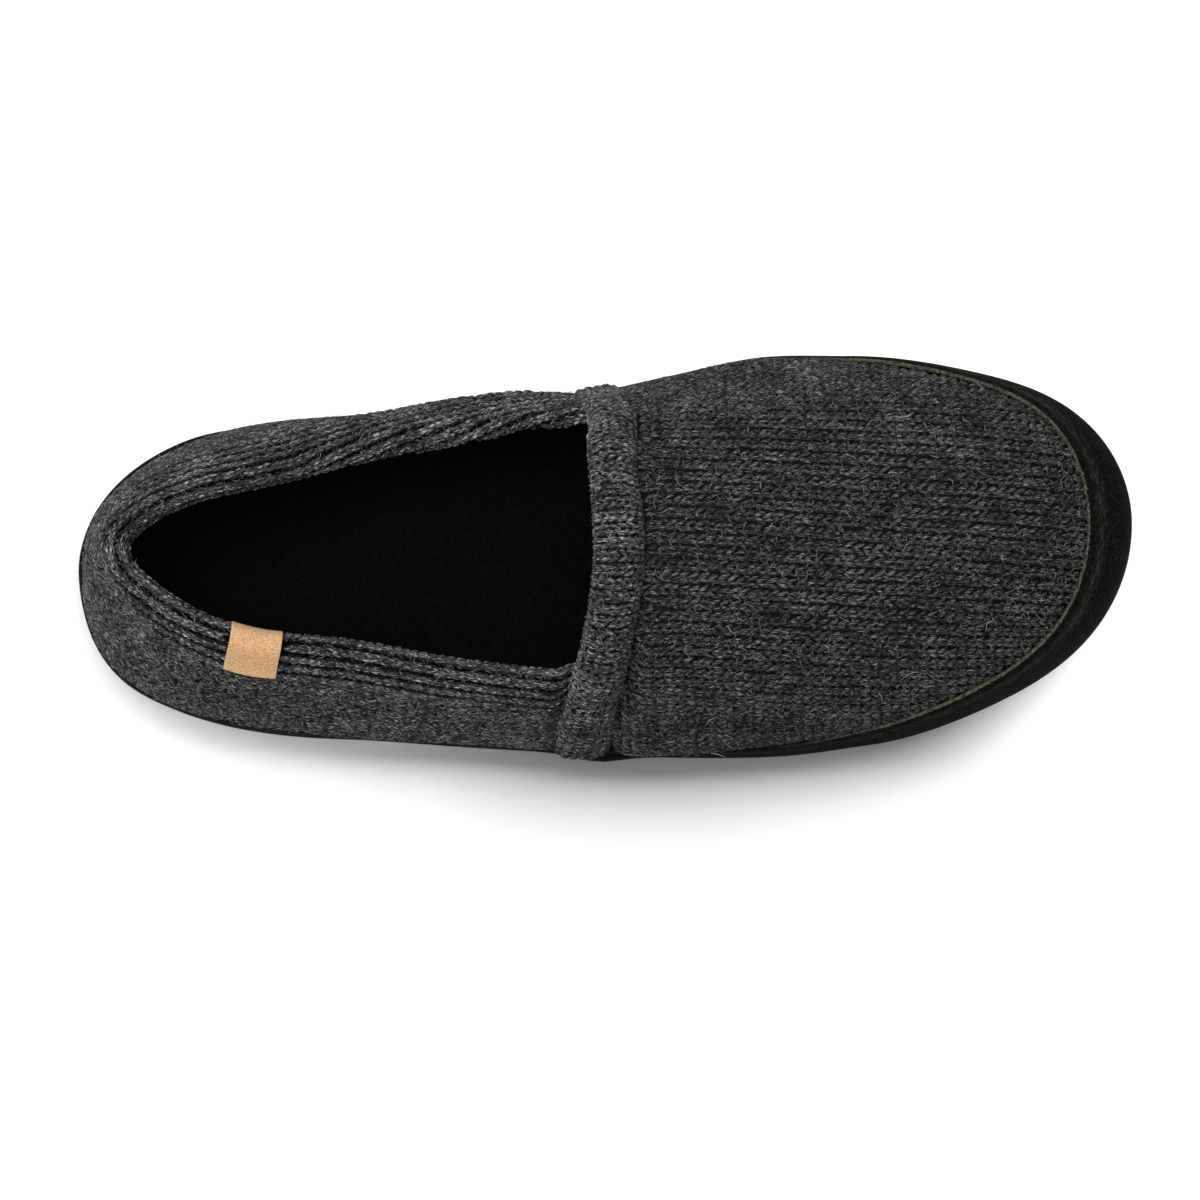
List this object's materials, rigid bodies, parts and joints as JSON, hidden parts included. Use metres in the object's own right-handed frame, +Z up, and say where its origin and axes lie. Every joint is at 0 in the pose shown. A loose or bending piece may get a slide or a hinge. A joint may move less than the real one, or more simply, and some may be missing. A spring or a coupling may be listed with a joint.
{
  "type": "moccasin slipper",
  "caption": "Right moccasin slipper with a heathered wool knit upper, rolled collar, hemmed throat cuff, suede rand, fleece footbed and a rubber sole with toe spring.",
  "frame": {"origin": "middle of the part's box, on the floor it stands on", "axes": "+X to the toe along the foot, +Y to the big-toe side, +Z up"},
  "size_m": [0.29, 0.1105, 0.0806],
  "materials": {
    "black_rubber": "matte",
    "black_fleece": "matte, short pile",
    "charcoal_wool_knit": "matte, heathered stocking-stitch knit",
    "black_suede": "matte nap",
    "tan_faux_suede": "matte"
  },
  "bodies": {
    "root": {"outsole": "black_rubber", "insole": "black_fleece", "upper": "charcoal_wool_knit", "rand": "black_suede", "throat_cuff": "charcoal_wool_knit", "label_tab": "tan_faux_suede"}
  },
  "joints": []
}
